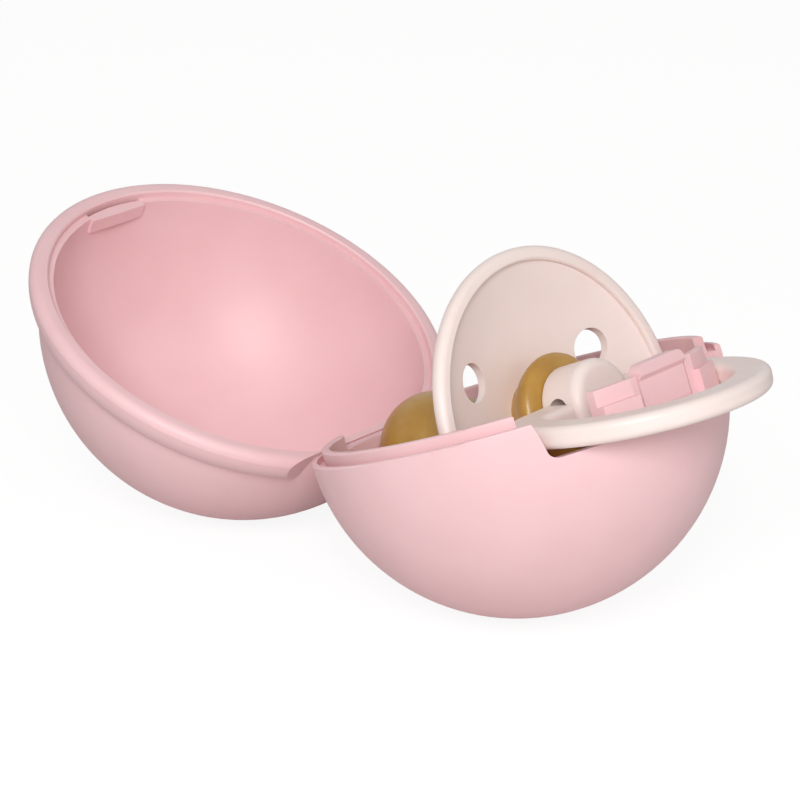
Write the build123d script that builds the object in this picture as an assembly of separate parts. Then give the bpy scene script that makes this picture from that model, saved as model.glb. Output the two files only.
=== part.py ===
"""Ball-shaped carrying and sterilising case for a pacifier, lid open, with its pacifier inside.

Two thin polypropylene bowls are moulded in one piece with a film hinge between them. The base
holds the pacifier. Its rim has a thin outer edge, a groove and a taller inner lip. Opposite the
hinge stands a latch wall with a flexing tongue, and a notch on each side of it lets the ring of
the pacifier out, round the latch. The lid has a thick outer band that drops over the base's edge,
a ledge that seats on it, and a catch ridge that meets the tongue.

Millimetres. Each bowl is drawn in its own frame: origin at the centre of its sphere, +Z out of
the mouth, +X from the hinge to the latch. The parts are then set down open on both bowls, with
+Z up, the hinge line along Y, and the origin under the middle of the whole.
"""
from math import acos, asin, cos, degrees, radians, sin, sqrt
import os

from build123d import *

# ---------------------------------------------------------------- driving dimensions
# bowls
base_r = 27.9            # outside radius of the base
base_wall = 1.8
lid_over = 0.6           # how much larger the lid's outside radius is
lid_wall = 1.4
open_angle = 133.0       # how far the lid stands open

# rim of the base
edge_z = 0.25            # height of the thin outer edge over the sphere's centre
edge_wall = 0.7
groove_depth = 0.8
groove_w = 1.0           # groove between the outer edge and the inner lip
lip_wall = 1.1
lip_rise = 1.4           # how far the lip stands over the outer edge
lip_foot = 1.7           # depth at which the lip's inner face starts to run out into the bowl
lip_runout = 3.5         # height of that run-out
edge_round = 0.25

# rim of the lid
band_clear = 0.15        # running clearance between the band and the base's edge
band_t = 2.45            # thickness of the band at its fullest
band_h = 4.6             # height of the band
band_foot_t = 0.65       # how far its lower edge stands off the bowl
band_crown = 1.3         # radius of the band's rounded top
ledge_depth = 1.1        # depth of the seating ledge below the band's top
seat_gap = 0.1           # gap left between the ledge and the base's edge when shut

# film hinge
fold_inset = 1.37        # how far the fold lines stand inside the base's outside radius
film_len = 15.6
film_w = 0.9             # from fold line to fold line
film_t = 0.4
film_clear = 0.05        # clearance round the film's rounded sides
land_cover = 0.4         # height of the lands over their fold lines
pad_wall = 1.2           # thickness of the flat wall that carries a fold line
pad_r = 9.4              # radius of that flat wall
hinge_gap_w = 17.8       # width over which the base's rim is cut down for the hinge
band_cut_top = 0.13      # how far the cut ends of the band stand inside the fold line, at their top
band_cut_foot = 1.1      # the same at the foot of the band

# latch wall and notches of the base
latch_w = 23.0           # width of the wall between the two notches
latch_inset = 0.8        # how far the wall stands inside the bowl's outside radius
notch_y = 19.8           # half width over the notches at the edge
notch_slope = 1.1        # how much narrower they are at the floor
notch_floor = 4.8        # depth of the floor below the sphere's centre
notch_round = 1.4
recess_w = 12.4          # finger recess in front of the tongue
recess_inset = 2.55      # its flat face, and the tongue's, inside the base's outside radius
recess_wall = 1.4        # wall behind it
tongue_w = 9.2
tongue_slit = 0.35
tongue_root = 3.0        # depth of the tongue's root below the sphere's centre
tongue_top = 2.85        # height of the tongue over the sphere's centre
tongue_round = 1.3
bead_out = 0.6           # how far the snap bead stands out from the tongue
bead_h = 1.5
bead_round = 0.3
root_clear = 0.05

# catch ridge of the lid
catch_w = 10.4
catch_clear = 0.1        # clearance between the catch and the snap bead
catch_h = 2.2            # height of the ridge over the bowl's wall, down from the ledge
catch_slot = 0.45        # slot between the ridge and the band
catch_slot_depth = 1.2

# pacifier: shield
shield_clear = 2.55      # how much higher than the bowl's bottom the shield ends
dish_r = 47.6            # radius the plate is dished to
dish_depth = 4.2         # depth of the dish at its middle, behind the middle of the edge bead
shield_t = 1.2
bead_w = 2.0             # edge bead, seen from the front
bead_t = 2.1             # and its thickness
vent_r = 2.6
vent_circle = 13.2
vent_count = 3
vent_angle = 26.5        # the shield is turned a few degrees on its neck
neck_r = 4.6             # radius of the teat's neck in the shield
neck_clear = 0.05
shield_x = 7.2           # middle of the shield's edge, in the base's frame
shield_z = -1.65
pitch = 4.5              # nose of the pacifier up
yaw = -1.8               # nose of the pacifier to the side

# pacifier: teat
bulb_r = 7.5
bulb_clear = 1.6         # between the bulb and the bowl's wall behind it
teat_wall = 1.0
neck_flange_r = 7.4
neck_flange_t = 1.2
collar_r = 7.6
collar_end = 0.7         # where the collar's full radius ends, from the edge plane of the shield

# pacifier: knob
knob_r = 5.35
knob_back = 2.0          # from the edge plane of the shield to the knob's back
knob_len = 6.6
knob_round = 1.4
knob_edge = 0.35
stem_len = 10.0
stem_clear = 0.05
hole_r = 1.7             # cross hole for the ring
hole_x = 4.8             # from the edge plane of the shield to the hole's axis
hole_z = 0.2             # over the knob's axis

# pacifier: ring
ring_r = 15.35           # middle radius of the ring
ring_w = 5.1
ring_t = 2.9
ring_section_round = 1.0
ring_corner = 4.5        # where the ring turns in to the knob
ring_inset = 8.1         # the ring's centre, inside the base's outside radius
ring_droop = 5.2         # tip of the ring lower than the knob
ring_end_gap = 0.35      # between the ring's full section and the knob
pin_r = 1.1
pin_in = 1.6             # how deep the ring's ends sit in the knob
pin_lift = 0.06          # clearance under the ring's ends

# ---------------------------------------------------------------- worked out from them
base_ri = base_r - base_wall
lid_r = base_r + lid_over                       # outside radius of the lid
lid_ri = lid_r - lid_wall
lip_r = base_r - edge_wall - groove_w           # outside radius of the lip
fold_x = base_r - fold_inset                    # distance of the fold lines from the bowls' axes
recess_x = base_r - recess_inset                # face of the recess and of the tongue
lip_z = edge_z + lip_rise
lip_ri = lip_r - lip_wall
band_ri = base_r + band_clear
band_ro = band_ri + band_t
ledge_z = -ledge_depth
shut_z = edge_z + seat_gap + ledge_z            # lid centre over base centre when shut
fold_z = (shut_z - film_w) / 2                  # height of the fold lines in both frames
half_turn = open_angle / 2
tilt = 90 - half_turn                           # lean of each mouth when both stand level
face_x = fold_x + film_t / 2                    # flat outside faces at the hinge
inset_x = fold_x - film_t / 2 - film_clear      # lands beside the film
land_in = fold_x - pad_wall
bowls_apart = 2 * (fold_x * cos(radians(tilt)) + fold_z * sin(radians(tilt))) + film_w
roll = degrees(asin((lid_r - base_r) / bowls_apart))   # the fatter lid lifts its side a little
shield_r = base_ri + shield_z - shield_clear
bulb_x = shield_x + base_ri - bulb_clear - bulb_r   # from the bulb's middle to the shield's edge plane
ring_reach = base_r - ring_inset - shield_x - hole_x   # from the hole's axis to the ring's centre


def block(x0, x1, y0, y1, z0, z1):
    """A box given by its limits."""
    return Pos((x0 + x1) / 2, (y0 + y1) / 2, (z0 + z1) / 2) * Box(x1 - x0, y1 - y0, z1 - z0)


def rounded(face, corners, radius):
    """Round the named corners of a flat outline."""
    near = [min(face.vertices(), key=lambda v: (Vector(v) - Vector(*c)).length) for c in corners]
    return fillet(near, radius)


def turned(face):
    """Spin an outline drawn as (radius, height) about the Z axis."""
    return revolve(Plane.XZ * face, Axis.Z)


def spun_x(face):
    """Spin an outline drawn as (distance along X, radius) about the X axis."""
    return revolve(face, Axis.X)


def rod_y(x, z, radius, length):
    """A round bar along Y."""
    return Pos(x, 0, z) * Rot(90, 0, 0) * Cylinder(radius, length)


def disc_x(x0, x1, radius):
    """A round plate square to X."""
    return Pos((x0 + x1) / 2, 0, 0) * Rot(0, 90, 0) * Cylinder(radius, x1 - x0)


def arc_point(radius, angle):
    return (radius * cos(radians(angle)), radius * sin(radians(angle)))


# ---------------------------------------------------------------- base bowl
def base_outline():
    """Half section of the base: bowl, thin edge, groove and inner lip."""
    runout_z = -lip_foot - lip_runout
    inner = (sqrt(base_ri**2 - runout_z**2), runout_z)
    groove_z = edge_z - groove_depth
    outline = Polyline(
        (base_r, 0), (base_r, edge_z), (base_r - edge_wall, edge_z), (base_r - edge_wall, groove_z),
        (lip_r, groove_z), (lip_r, lip_z), (lip_ri, lip_z), (lip_ri, -lip_foot), inner)
    outline += RadiusArc(inner, (0, -base_ri), base_ri)
    outline += Line((0, -base_ri), (0, -base_r))
    outline += RadiusArc((0, -base_r), (base_r, 0), -base_r)
    face = make_face(outline)
    tops = [(base_r, edge_z), (lip_r, lip_z), (lip_ri, lip_z)]
    return rounded(face, tops, edge_round)


def notch_tool():
    """Cutter for one ring notch: an upright slot with a round corner, cut through along X."""
    top = tongue_top + notch_floor
    inner_y = latch_w / 2
    floor_y = notch_y - notch_slope * (notch_floor + edge_z) / notch_floor
    outline = Polyline(
        (inner_y, -notch_floor), (floor_y, -notch_floor), (notch_y, edge_z),
        (notch_y, top), (inner_y, top), (inner_y, -notch_floor))
    face = rounded(make_face(outline), [(floor_y, -notch_floor)], notch_round)
    reach = base_r - lip_ri / 2
    return Pos(lip_ri / 2, 0, 0) * extrude(Plane.YZ * face, reach)


def hinge_pad(outer, cover_z):
    """Flat wall inside a bowl that carries a fold line."""
    pad = disc_x(-face_x, -land_in, pad_r) & Sphere(outer)
    return pad - block(-face_x - 1, 0, -pad_r, pad_r, cover_z, pad_r + 1)


def fold_relief(land_z):
    """What the film needs cleared in a land: its groove, and the face beside it."""
    half = film_len / 2 + film_clear
    groove = rod_y(-fold_x, fold_z, film_t / 2 + film_clear, 2 * half)
    return groove + block(-face_x - 1, -inset_x, -hinge_gap_w / 2, hinge_gap_w / 2, fold_z, land_z)


def base_shell():
    bowl = turned(base_outline())
    land_z = fold_z + land_cover
    bowl -= block(-base_r - 1, -base_ri / 2, -hinge_gap_w / 2, hinge_gap_w / 2, land_z, lip_z + 1)
    bowl += hinge_pad(base_r, land_z)
    bowl -= block(-base_r - 1, -face_x, -base_r, base_r, -base_r, lip_z + 1)
    bowl -= fold_relief(lip_z)
    # latch wall: set in a little, with notches beside it and the finger recess in front
    wall_r = base_r - latch_inset
    ring = Cylinder(base_r + 1, notch_floor + lip_z) - Cylinder(wall_r, notch_floor + lip_z)
    ring = Pos(0, 0, (lip_z - notch_floor) / 2) * ring
    bowl -= ring & block(0, base_r + 1, -latch_w / 2, latch_w / 2, -notch_floor, lip_z)
    for side in (1, -1):
        bowl -= mirror(notch_tool(), Plane.XZ) if side < 0 else notch_tool()
    back_x = recess_x - recess_wall
    slab = block(back_x, recess_x, -recess_w / 2, recess_w / 2, -notch_floor - recess_wall, edge_z)
    bowl += slab & Sphere(base_r)
    bowl -= block(recess_x, base_r + 1, -recess_w / 2, recess_w / 2, -notch_floor, lip_z + 1)
    bowl -= tongue_pocket()
    return bowl


def tongue_pocket():
    """Room for the tongue: slits at its sides and a round seat under its root."""
    half = tongue_w / 2 + tongue_slit
    back_x = recess_x - recess_wall
    seat_r = recess_wall / 2 + root_clear
    gap = block(back_x - 2 * lip_wall, base_r + 1, -half, half, -tongue_root, tongue_top + 1)
    return gap + rod_y(recess_x - recess_wall / 2, -tongue_root, seat_r, 2 * half)


def latch_tongue():
    """The flexing tongue with its snap bead. It bends at its root."""
    back_x = recess_x - recess_wall
    bead_x = recess_x + bead_out
    bead_z = tongue_top - bead_h
    half = tongue_w / 2
    side = Polyline(
        (back_x, -tongue_root), (recess_x, -tongue_root), (recess_x, bead_z - bead_out),
        (bead_x, bead_z), (bead_x, tongue_top), (back_x, tongue_top), (back_x, -tongue_root))
    side = rounded(make_face(side), [(bead_x, bead_z), (bead_x, tongue_top)], bead_round)
    tongue = Pos(0, half, 0) * extrude(Plane.XZ * side, tongue_w)
    front = Pos(0, (tongue_top - tongue_root) / 2) * Rectangle(tongue_w, tongue_top + tongue_root)
    front = rounded(front, [(half, tongue_top), (-half, tongue_top)], tongue_round)
    tongue &= Pos(back_x - 1, 0, 0) * extrude(Plane.YZ * front, recess_wall + bead_out + 2)
    return tongue + rod_y(recess_x - recess_wall / 2, -tongue_root, recess_wall / 2, tongue_w)


# ---------------------------------------------------------------- lid bowl
def lid_bowl():
    """The lid's plain bowl, up to its seating ledge."""
    ledge_r = sqrt(lid_ri**2 - ledge_z**2)
    wall_r = sqrt(lid_r**2 - ledge_z**2)
    outline = RadiusArc((0, -lid_r), (wall_r, ledge_z), -lid_r)
    outline += Line((wall_r, ledge_z), (ledge_r, ledge_z))
    outline += RadiusArc((ledge_r, ledge_z), (0, -lid_ri), lid_ri)
    outline += Line((0, -lid_ri), (0, -lid_r))
    return turned(make_face(outline))


def lid_band():
    """The thick band round the lid's mouth, rooted in the middle of the bowl's wall."""
    foot_z = -band_h
    root_r = sqrt((lid_r - lid_wall / 2)**2 - foot_z**2)
    foot_r = sqrt(lid_r**2 - foot_z**2) + band_foot_t
    full_z = -band_crown
    belly = ((foot_r + band_ro) / 2 + band_t / 6, (foot_z + full_z) / 2)
    outline = Line((root_r, foot_z), (foot_r, foot_z))
    outline += ThreePointArc((foot_r, foot_z), belly, (band_ro, full_z))
    outline += RadiusArc((band_ro, full_z), (band_ro - band_crown, 0), -band_crown)
    outline += Polyline(
        (band_ro - band_crown, 0), (band_ri + edge_round, 0), (band_ri, -edge_round), (band_ri, ledge_z),
        (root_r, ledge_z), (root_r, foot_z))
    return turned(make_face(outline))


def band_ends_tool():
    """Cutter that ends the band on each side of the hinge, on a sloping face."""
    top_x = -fold_x + band_cut_top
    foot_x = -fold_x + band_cut_foot
    slope = (foot_x - top_x) / band_h
    outline = Polyline(
        (top_x - slope, 1), (foot_x, -band_h), (-band_ro - 1, -band_h), (-band_ro - 1, 1),
        (top_x - slope, 1))
    return Pos(0, band_ro, 0) * extrude(Plane.XZ * make_face(outline), 2 * band_ro)


def lid_shell():
    # beside the hinge the band stops, and the bowl's own wall goes on
    bowl = lid_bowl() + (lid_band() - band_ends_tool())
    land_z = fold_z + land_cover - seat_gap / 2
    bowl += hinge_pad(lid_r, ledge_z)
    half = film_len / 2
    bowl += block(-face_x, -land_in, -half, half, ledge_z - 1, land_z)
    bowl -= block(-lid_r - 1, -face_x, -lid_r, lid_r, -lid_r, 1)
    bowl -= fold_relief(1)
    # catch ridge with the slot behind it
    ridge_x = recess_x + bead_out + catch_clear
    ridge = block(ridge_x, band_ri, -catch_w / 2, catch_w / 2, ledge_z - catch_h, ledge_z)
    bowl += ridge & Sphere(lid_r)
    slot = Cylinder(band_ri, catch_slot_depth) - Cylinder(band_ri - catch_slot, catch_slot_depth)
    slot = Pos(0, 0, ledge_z - catch_slot_depth / 2) * slot
    return bowl - (slot & block(0, band_ro, -catch_w / 2, catch_w / 2, -band_h, 0))


# ---------------------------------------------------------------- film hinge
def hinge_film():
    """The flexing strap. It is drawn along +Z from the base's fold line to the lid's."""
    web = block(-film_t / 2, film_t / 2, -film_len / 2, film_len / 2, 0, film_w)
    return web + rod_y(0, 0, film_t / 2, film_len) + rod_y(0, film_w, film_t / 2, film_len)


# ---------------------------------------------------------------- pacifier
# Drawn with the edge plane of the shield at X = 0, the knob on +X and the teat on -X.
def dish_x(radius):
    """Where the dished front of the shield lies at a radius from its middle."""
    return dish_r - dish_depth - sqrt(dish_r**2 - radius**2)


def shield():
    """Dished round plate with a round edge bead, vents and a hole for the teat's neck."""
    bead_in = shield_r - bead_w
    neck = neck_r + neck_clear
    middle = (neck + bead_in) / 2
    outline = ThreePointArc(
        (dish_x(neck), neck), (dish_x(middle), middle), (dish_x(bead_in), bead_in))
    outline += Polyline(
        (dish_x(bead_in), bead_in), (bead_t / 2, bead_in), (bead_t / 2, shield_r),
        (-bead_t / 2, shield_r), (-bead_t / 2, bead_in))
    outline += ThreePointArc(
        (-bead_t / 2, bead_in), (dish_x(middle) - shield_t, middle), (dish_x(neck) - shield_t, neck))
    outline += Line((dish_x(neck) - shield_t, neck), (dish_x(neck), neck))
    face = make_face(outline)
    face = rounded(face, [(bead_t / 2, shield_r), (-bead_t / 2, shield_r)], bead_t * 0.45)
    step = abs(bead_t / 2 - dish_x(bead_in))
    face = rounded(face, [(bead_t / 2, bead_in)], min(bead_t * 0.2, step * 0.48))
    plate = spun_x(face)
    for k in range(vent_count):
        y, z = arc_point(vent_circle, vent_angle + 360 * k / vent_count)
        plate -= Pos(0, y, z) * Rot(0, 90, 0) * Cylinder(vent_r, 4 * dish_depth)
    return plate


def teat():
    """Hollow rubber teat: bulb, neck through the shield, a flange behind it and the collar."""
    bore = neck_r - teat_wall
    throat = -bulb_x + sqrt(bulb_r**2 - neck_r**2)          # where the neck meets the bulb
    throat_in = -bulb_x + sqrt((bulb_r - teat_wall)**2 - bore**2)
    flange_front = dish_x(neck_flange_r) - shield_t
    flange_back = dish_x(neck_r) - shield_t - neck_flange_t
    seat = dish_x(neck_r)
    dome_mid = (knob_back - 0.4, collar_r - 0.9)
    half_flange = (neck_r + neck_flange_r) / 2
    outline = ThreePointArc((-bulb_x - bulb_r, 0), (-bulb_x, bulb_r), (throat, neck_r))
    outline += Polyline((throat, neck_r), (flange_back, neck_r), (flange_back, neck_flange_r),
                        (flange_front, neck_flange_r))
    outline += ThreePointArc((flange_front, neck_flange_r), (dish_x(half_flange) - shield_t, half_flange),
                             (seat - shield_t, neck_r))
    outline += Line((seat - shield_t, neck_r), (seat, neck_r))
    outline += ThreePointArc((seat, neck_r), (dish_x((neck_r + collar_r) / 2), (neck_r + collar_r) / 2),
                             (dish_x(collar_r), collar_r))
    outline += Line((dish_x(collar_r), collar_r), (collar_end, collar_r))
    outline += ThreePointArc((collar_end, collar_r), dome_mid, (knob_back, knob_r))
    outline += Polyline((knob_back, knob_r), (knob_back, bore), (throat_in, bore))
    outline += ThreePointArc((throat_in, bore), (-bulb_x, bulb_r - teat_wall),
                             (-bulb_x - bulb_r + teat_wall, 0))
    outline += Line((-bulb_x - bulb_r + teat_wall, 0), (-bulb_x - bulb_r, 0))
    face = make_face(outline)
    face = rounded(face, [(throat, neck_r), (throat_in, bore)], neck_r / 2)
    face = rounded(face, [(flange_back, neck_flange_r)], neck_flange_t / 2)
    return spun_x(face)


def knob():
    """Button that plugs the teat's neck and carries the ring in its cross hole."""
    front = knob_back + knob_len
    stem_r = neck_r - teat_wall - stem_clear
    tail = knob_back - stem_len
    outline = Polyline(
        (tail, 0), (tail, stem_r), (knob_back, stem_r), (knob_back, knob_r), (front, knob_r),
        (front, 0), (tail, 0))
    face = rounded(make_face(outline), [(tail, stem_r), (front, knob_r)], knob_round)
    face = rounded(face, [(knob_back, knob_r)], knob_edge)
    bore = Pos(hole_x, 0, hole_z) * Rot(90, 0, 0) * Cylinder(hole_r, 4 * knob_r)
    return spun_x(face) - bore


def ring():
    """Ring handle, drawn about the axis of its ends, with the ring reaching out along +X."""
    turn_y = sqrt(ring_r**2 - ring_reach**2)
    tip = (ring_reach + ring_r, 0)
    end_y = knob_r + ring_end_gap
    path = Line((0, end_y), (0, turn_y))
    path += ThreePointArc((0, turn_y), tip, (0, -turn_y))
    path += Line((0, -turn_y), (0, -end_y))
    wire = Wire(path.edges())
    corners = [v for v in wire.vertices() if abs(abs(v.Y) - turn_y) < 0.01]
    wire = wire.fillet_2d(ring_corner, corners)
    section = RectangleRounded(ring_w, ring_t, ring_section_round)
    start = Plane(origin=(0, end_y, 0), x_dir=(1, 0, 0), z_dir=(0, 1, 0))
    body = sweep(start * section, path=wire)
    for side in (1, -1):
        inner = side * (knob_r - pin_in)
        outer = side * (end_y + 1)
        pin = Pos(0, (inner + outer) / 2, 0) * Rot(90, 0, 0) * Cylinder(pin_r, abs(outer - inner))
        body += pin
    return body


# ---------------------------------------------------------------- where each frame stands
base_at = Rot(0, -tilt, 0)
fold_base = base_at * Pos(-fold_x, 0, fold_z)
film_at = fold_base * Rot(0, -half_turn, 0)
fold_lid = film_at * Pos(0, 0, film_w)
lid_at = fold_lid * Rot(0, -half_turn, 0) * Rot(0, 180, 0) * Rot(0, 0, 180) * Pos(fold_x, 0, -fold_z)
tongue_at = base_at * Pos(recess_x - recess_wall / 2, 0, -tongue_root)
pacifier_at = base_at * Pos(shield_x, 0, shield_z) * Rot(0, 0, yaw) * Rot(0, -pitch, 0)
pin_z = hole_z - hole_r + pin_r + pin_lift
ring_at = pacifier_at * Pos(hole_x, 0, pin_z) * Rot(0, 0, -yaw) * Rot(0, pitch + ring_droop, 0)

placed = {
    "base_shell": base_at * base_shell(),
    "latch_tongue": base_at * latch_tongue(),
    "hinge_film": film_at * hinge_film(),
    "lid_shell": lid_at * lid_shell(),
    "shield": pacifier_at * shield(),
    "teat": pacifier_at * teat(),
    "knob": pacifier_at * knob(),
    "ring": ring_at * ring(),
}

# set down on both bowls, with the origin under the middle of the whole
level = Rot(0, roll, 0)
placed = {name: level * shape for name, shape in placed.items()}
box = Compound(list(placed.values())).bounding_box()
middle = box.center()
set_down = Pos(-middle.X, -middle.Y, -box.min.Z)
placed = {name: set_down * shape for name, shape in placed.items()}

os.makedirs("parts", exist_ok=True)
for name, shape in placed.items():
    export_step(shape, f"parts/{name}.step")
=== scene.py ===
from math import cos, pi, radians, sin, sqrt

import bmesh
import bpy
from mathutils import Euler, Matrix, Vector


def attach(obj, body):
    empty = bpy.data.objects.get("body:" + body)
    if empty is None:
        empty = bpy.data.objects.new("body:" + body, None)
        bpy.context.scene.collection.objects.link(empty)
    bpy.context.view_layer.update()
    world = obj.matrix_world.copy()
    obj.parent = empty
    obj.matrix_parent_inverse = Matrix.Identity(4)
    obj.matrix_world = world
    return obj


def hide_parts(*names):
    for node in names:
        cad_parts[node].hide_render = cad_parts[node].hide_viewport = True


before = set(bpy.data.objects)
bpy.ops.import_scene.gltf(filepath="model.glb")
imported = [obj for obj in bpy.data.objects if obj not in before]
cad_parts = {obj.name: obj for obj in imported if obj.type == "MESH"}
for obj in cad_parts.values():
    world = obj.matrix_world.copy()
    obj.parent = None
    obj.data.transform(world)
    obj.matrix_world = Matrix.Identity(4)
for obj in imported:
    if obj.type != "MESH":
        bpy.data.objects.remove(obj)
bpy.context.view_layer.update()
MM = 0.001


# ------------------------------------------------------------------ helpers
def linear(code):
    """sRGB hex to the linear colour that Blender's sockets take."""
    parts = [int(code[i:i + 2], 16) / 255 for i in (1, 3, 5)]
    return [c / 12.92 if c <= 0.04045 else ((c + 0.055) / 1.055) ** 2.4 for c in parts] + [1.0]


def node(tree, kind, links=(), **settings):
    """Adds a node, sets its properties or sockets by name, and links (socket, output) pairs.

    An underscore stands for a space in a socket's name, and in_N is socket number N.
    """
    made = tree.nodes.new(kind)
    for name, value in settings.items():
        if name.startswith("in_"):
            made.inputs[int(name[3:])].default_value = value
        elif hasattr(made, name):
            setattr(made, name, value)
        else:
            made.inputs[name.replace("_", " ")].default_value = value
    for socket, output in links:
        tree.links.new(output, made.inputs[socket])
    return made


def new_material(name):
    made = bpy.data.materials.new(name)
    made.use_nodes = True
    made.node_tree.nodes.clear()
    return made, made.node_tree


# ------------------------------------------------------------------ materials
# Widths and depths are in mm. The grain that an eroded tool leaves is about 0.05 mm wide, too
# fine to show, so it is drawn coarser here.
FLOW_WIDTH = 14.0                   # faint clouds where the melt flowed
GRAIN_WIDTH = {"pink": 0.35, "blush": 0.3}
GRAIN_DEPTH = {"pink": 0.006, "blush": 0.004}
LESS_ROUGH, MORE_ROUGH = 0.05, 0.07     # how far the grain moves the roughness
PLASTIC_IOR, PLASTIC_SCATTER = 1.49, 1.2
CLOUD_WIDTH, DIP_WIDTH, DIP_DEPTH = 5.0, 0.6, 0.01
RUBBER_IOR, RUBBER_ROUGH, RUBBER_SCATTER = 1.52, 0.34, 1.5


def moulded(name, colour, deep, rough, grain_width, grain_depth, scatter, scatter_colour):
    """Injection-moulded plastic: an even colour with a faint cloudy flow, and a fine grain."""
    made, t = new_material(name)
    place = node(t, "ShaderNodeTexCoord").outputs["Object"]
    flow = node(t, "ShaderNodeTexNoise", [("Vector", place)],
                Scale=1 / (FLOW_WIDTH * MM), Detail=3.0, Roughness=0.5)
    grain = node(t, "ShaderNodeTexNoise", [("Vector", place)],
                 Scale=1 / (grain_width * MM), Detail=2.0)
    tone = node(t, "ShaderNodeValToRGB", [("Fac", flow.outputs["Fac"])])
    dark, light = tone.color_ramp.elements
    dark.position, dark.color = 0.3, linear(deep)
    light.position, light.color = 0.7, linear(colour)
    sheen = node(t, "ShaderNodeMapRange", [("Value", grain.outputs["Fac"])],
                 To_Min=rough - LESS_ROUGH, To_Max=rough + MORE_ROUGH)
    bump = node(t, "ShaderNodeBump", [("Height", grain.outputs["Fac"])],
                Strength=0.5, Distance=grain_depth * MM)
    body = node(t, "ShaderNodeBsdfPrincipled",
                [("Base Color", tone.outputs["Color"]), ("Roughness", sheen.outputs["Result"]),
                 ("Normal", bump.outputs["Normal"])],
                IOR=PLASTIC_IOR, Subsurface_Weight=scatter, Subsurface_Radius=scatter_colour,
                Subsurface_Scale=PLASTIC_SCATTER * MM)
    node(t, "ShaderNodeOutputMaterial", [("Surface", body.outputs["BSDF"])])
    return made


def natural_rubber():
    """Dipped natural rubber: translucent amber, soft sheen, faint clouds and dip lines."""
    made, t = new_material("natural rubber, dipped amber")
    place = node(t, "ShaderNodeTexCoord").outputs["Object"]
    cloud = node(t, "ShaderNodeTexNoise", [("Vector", place)],
                 Scale=1 / (CLOUD_WIDTH * MM), Detail=4.0, Roughness=0.55)
    fine = node(t, "ShaderNodeTexNoise", [("Vector", place)],
                Scale=1 / (DIP_WIDTH * MM), Detail=2.0)
    tone = node(t, "ShaderNodeValToRGB", [("Fac", cloud.outputs["Fac"])])
    dark, light = tone.color_ramp.elements
    dark.position, dark.color = 0.25, linear("#a87c2c")
    light.position, light.color = 0.75, linear("#bd9340")
    bump = node(t, "ShaderNodeBump", [("Height", fine.outputs["Fac"])],
                Strength=0.4, Distance=DIP_DEPTH * MM)
    body = node(t, "ShaderNodeBsdfPrincipled",
                [("Base Color", tone.outputs["Color"]), ("Normal", bump.outputs["Normal"])],
                Roughness=RUBBER_ROUGH, IOR=RUBBER_IOR, Subsurface_Weight=0.35,
                Subsurface_Radius=(1.0, 0.6, 0.2), Subsurface_Scale=RUBBER_SCATTER * MM)
    node(t, "ShaderNodeOutputMaterial", [("Surface", body.outputs["BSDF"])])
    return made


# Polypropylene, moulded against a finely eroded steel tool: soft satin, no sharp reflections.
pink_polypropylene = moulded(
    "pink polypropylene, satin moulded", "#f3cbce", "#eec4c7", 0.46,
    GRAIN_WIDTH["pink"], GRAIN_DEPTH["pink"], 0.10, (1.0, 0.6, 0.55))
# The pacifier's plastic is the same polymer in a pale blush, a little smoother.
blush_polypropylene = moulded(
    "blush polypropylene, satin moulded", "#f5e5df", "#f0ded8", 0.42,
    GRAIN_WIDTH["blush"], GRAIN_DEPTH["blush"], 0.15, (1.0, 0.6, 0.45))
amber_rubber = natural_rubber()

for finish, names in ((pink_polypropylene, ("base_shell", "lid_shell", "hinge_film",
                                            "latch_tongue")),
                      (blush_polypropylene, ("shield", "knob", "ring"))):
    for name in names:
        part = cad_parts[name]
        part.data.materials.clear()
        part.data.materials.append(finish)


# ------------------------------------------------------------------ teat
# The pacifier's own frame: +X out of the shield's front, its origin in the middle of the edge
# bead. Lengths below are in mm, x along that +X and r from it.
PACIFIER = Matrix(((0.888188, 0.028957, -0.458567, 27.8453 * MM),
                   (-0.031314, 0.999507, 0.002464, 0.0),
                   (0.458412, 0.012171, 0.888656, 29.1687 * MM),
                   (0, 0, 0, 1)))
NECK_R, WALL = 4.6, 1.0             # neck in the shield's hole, and the rubber's thickness
BULB_R, BULB_X = 7.5, -24.2         # the bulb and its middle
BULB_SHARE = 0.72                   # how far round from its tip the bulb is a true ball
DISH_R, DISH_DEPTH, SHIELD_T = 47.6, 4.2, 1.2
FLANGE_R, FLANGE_T = 7.4, 1.2       # flange behind the shield
FLANGE_MID_R = 6.0                  # a point half way in over the flange's face
CORNER, FOOT = 0.5, 0.12            # rounding of the flange's corners and of the neck's foot
KNOB_BACK, KNOB_R = 2.0, 5.35
KNOB_GAP = 0.02                     # keeps the rubber's end off the knob's back
# the collar in front of the shield: a full bead between the dish and the back of the knob
COLLAR_FOOT_R = 5.0
COLLAR = ((-3.0, 5.45), (-2.0, 6.15), (-1.0, 6.85), (0.0, 7.35), (0.7, 7.5), (1.3, 7.25),
          (1.75, 6.6))
COLLAR_OVER = 0.2                   # how far the collar stands over the knob's edge
BULB_STEPS, BORE_STEPS, WAIST_STEPS, COLLAR_STEPS, TURNS = 26, 20, 6, 5, 128
SHARP_DEGREES = 50


def dish_x(radius):
    return DISH_R - DISH_DEPTH - sqrt(DISH_R**2 - radius**2)


def smooth_run(points, steps):
    """A Catmull-Rom curve through the points."""
    ends = [tuple(2 * a - b for a, b in zip(points[0], points[1]))]
    tail = [tuple(2 * a - b for a, b in zip(points[-1], points[-2]))]
    knots = ends + list(points) + tail
    out = []
    for p0, p1, p2, p3 in zip(knots, knots[1:], knots[2:], knots[3:]):
        for i in range(steps):
            t = i / steps
            out.append(tuple(0.5 * (2 * b + (c - a) * t + (2 * a - 5 * b + 4 * c - d) * t**2
                                    + (3 * b - a - 3 * c + d) * t**3)
                             for a, b, c, d in zip(p0, p1, p2, p3)))
    return out + [tuple(points[-1])]


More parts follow.
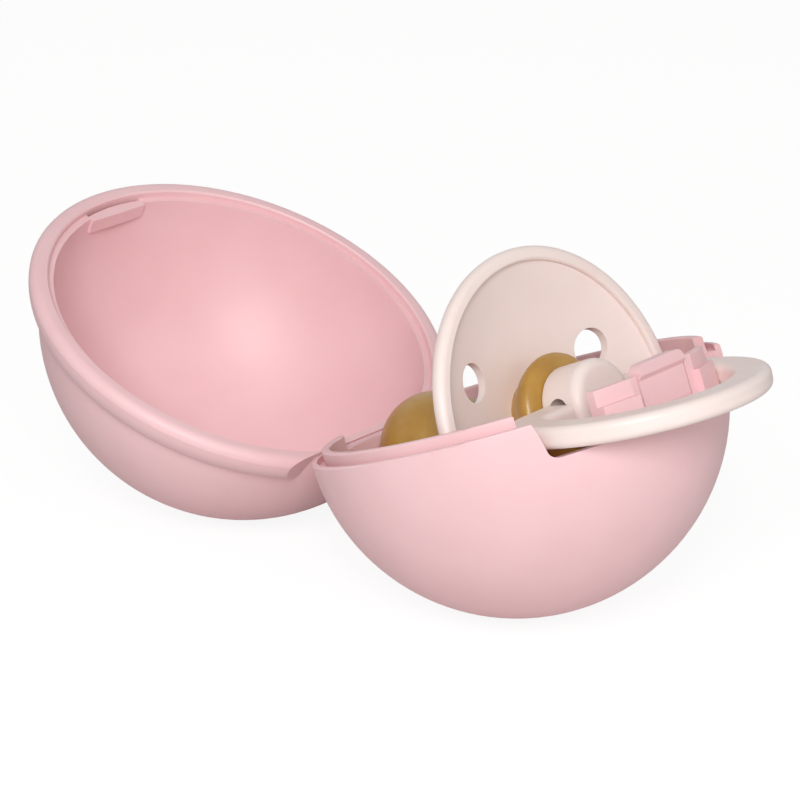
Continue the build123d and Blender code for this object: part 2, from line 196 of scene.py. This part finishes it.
def bulb_run(radius, neck, steps):
    """Outline of the bulb from its tip, through a soft waist, to the neck."""
    waist = BULB_X + radius * 1.12
    arc = [(BULB_X - radius * cos(a), radius * sin(a))
           for a in (pi * i / steps * BULB_SHARE for i in range(steps + 1))]
    return arc + smooth_run([arc[-1], (waist - 0.6, neck * 1.09), (waist + 1.4, neck)],
                            WAIST_STEPS)[1:]


def teat_outline():
    """(x, r) of the teat's section: from the bulb's tip over the outside, back in the bore."""
    front = dish_x(NECK_R) - SHIELD_T       # the flange's face, against the shield
    back = front - FLANGE_T
    outside = bulb_run(BULB_R, NECK_R, BULB_STEPS)
    outside += [(back - CORNER, NECK_R), (back - FOOT, NECK_R + FOOT),
                (back, NECK_R + CORNER), (back, FLANGE_R - CORNER)]
    outside += [(back + CORNER - CORNER * cos(a), FLANGE_R - CORNER + CORNER * sin(a))
                for a in (0.5, 1.0, pi / 2)]
    outside += [(dish_x(FLANGE_R) - SHIELD_T, FLANGE_R),
                (dish_x(FLANGE_MID_R) - SHIELD_T, FLANGE_MID_R),
                (front, NECK_R), (dish_x(NECK_R), NECK_R)]
    outside += smooth_run([(dish_x(COLLAR_FOOT_R), COLLAR_FOOT_R), *COLLAR,
                           (KNOB_BACK - KNOB_GAP, KNOB_R + COLLAR_OVER)], COLLAR_STEPS)
    bore = NECK_R - WALL
    inside = bulb_run(BULB_R - WALL, bore, BORE_STEPS)
    return outside + [(KNOB_BACK - KNOB_GAP, bore)] + inside[::-1]


def spun_piece(name, outline, turns, matrix, finish):
    """Turns an outline about +X of the given frame. Points on the axis are single vertices."""
    mesh = bpy.data.meshes.new(name)
    bm = bmesh.new()
    rings = []
    for x, r in outline:
        if r < 1e-6:
            rings.append([bm.verts.new(matrix @ Vector((x * MM, 0, 0)))])
            continue
        rings.append([bm.verts.new(matrix @ Vector((x * MM, r * MM * cos(a), r * MM * sin(a))))
                      for a in (2 * pi * i / turns for i in range(turns))])
    for one, two in zip(rings, rings[1:]):
        for i in range(turns):
            j = (i + 1) % turns
            quad = [one[i % len(one)], one[j % len(one)], two[j % len(two)], two[i % len(two)]]
            loop = list(dict.fromkeys(quad))
            if len(loop) > 2:
                bm.faces.new(loop)
    bmesh.ops.recalc_face_normals(bm, faces=bm.faces)
    bm.to_mesh(mesh)
    bm.free()
    mesh.shade_smooth()
    mesh.set_sharp_from_angle(angle=radians(SHARP_DEGREES))
    made = bpy.data.objects.new(name, mesh)
    bpy.context.scene.collection.objects.link(made)
    made.data.materials.append(finish)
    return made


rubber_teat = spun_piece("rubber_teat", teat_outline(), TURNS, PACIFIER, amber_rubber)
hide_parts("teat")
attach(rubber_teat, "pacifier")


# ------------------------------------------------------------------ floor, light and camera
WHITE = (1, 1, 1, 1)
FLOOR_HALF = 3                      # metres from the middle of the sweep to its edge
FLOOR_SEEN, FLOOR_GLOW = 0.80, 1.12     # share of glow that the camera sees, and its strength
ROOM_LIGHT, ROOM_SEEN = 0.35, 1.0       # the world as it lights, and as it looks
LIGHT_AIM = (0, 0, 0.02)
SENSOR_WIDTH, LENS = 36.0, 157.5
CAMERA_AT = (286.26 * MM, -336.19 * MM, 192.93 * MM)
CAMERA_DEGREES = (68.9832, -0.8054, 40.6705)


def white_floor():
    """A pale sweep: the camera sees it white, and it keeps the object's soft shadow."""
    made, t = new_material("white paper sweep")
    path = node(t, "ShaderNodeLightPath")
    seen = node(t, "ShaderNodeMath", [(0, path.outputs["Is Camera Ray"])],
                operation="MULTIPLY", in_1=FLOOR_SEEN)
    lit = node(t, "ShaderNodeBsdfDiffuse", Color=linear("#e2e0df"))
    glow = node(t, "ShaderNodeEmission", Color=WHITE, Strength=FLOOR_GLOW)
    mix = node(t, "ShaderNodeMixShader", [("Fac", seen.outputs[0]), (1, lit.outputs["BSDF"]),
                                          (2, glow.outputs["Emission"])])
    node(t, "ShaderNodeOutputMaterial", [("Surface", mix.outputs["Shader"])])
    return made


floor_mesh = bpy.data.meshes.new("floor")
floor_mesh.from_pydata([(x * FLOOR_HALF, y * FLOOR_HALF, 0)
                        for x, y in ((-1, -1), (1, -1), (1, 1), (-1, 1))], [], [(0, 1, 2, 3)])
floor = bpy.data.objects.new("floor", floor_mesh)
bpy.context.scene.collection.objects.link(floor)
floor.data.materials.append(white_floor())

world = bpy.data.worlds.new("studio")
bpy.context.scene.world = world
world.use_nodes = True
tree = world.node_tree
tree.nodes.clear()
path = node(tree, "ShaderNodeLightPath")
room = node(tree, "ShaderNodeBackground", Color=WHITE, Strength=ROOM_LIGHT)
sight = node(tree, "ShaderNodeBackground", Color=WHITE, Strength=ROOM_SEEN)
sees = node(tree, "ShaderNodeMath", [(0, path.outputs["Is Camera Ray"]),
                                     (1, path.outputs["Is Glossy Ray"])], operation="MAXIMUM")
mixed = node(tree, "ShaderNodeMixShader",
             [("Fac", sees.outputs[0]), (1, room.outputs["Background"]),
              (2, sight.outputs["Background"])])
node(tree, "ShaderNodeOutputWorld", [("Surface", mixed.outputs["Shader"])])


def softbox(name, where, size, watts):
    """A round area lamp that faces the object."""
    lamp = bpy.data.lights.new(name, "AREA")
    lamp.shape, lamp.size, lamp.energy = "DISK", size, watts
    obj = bpy.data.objects.new(name, lamp)
    obj.location = where
    aim = Vector(LIGHT_AIM) - Vector(where)
    obj.rotation_euler = aim.to_track_quat("-Z", "Y").to_euler()
    bpy.context.scene.collection.objects.link(obj)


softbox("key softbox", where=(0.36, -0.50, 0.42), size=0.30, watts=3.5)
softbox("fill softbox", where=(0.62, -0.12, 0.22), size=0.40, watts=0.4)

camera_data = bpy.data.cameras.new("camera")
camera_data.sensor_width = SENSOR_WIDTH
camera_data.lens = LENS
camera = bpy.data.objects.new("camera", camera_data)
camera.location = CAMERA_AT
camera.rotation_euler = Euler([radians(a) for a in CAMERA_DEGREES], "XYZ")
bpy.context.scene.collection.objects.link(camera)
bpy.context.scene.camera = camera
bpy.context.scene.view_settings.view_transform = "Standard"
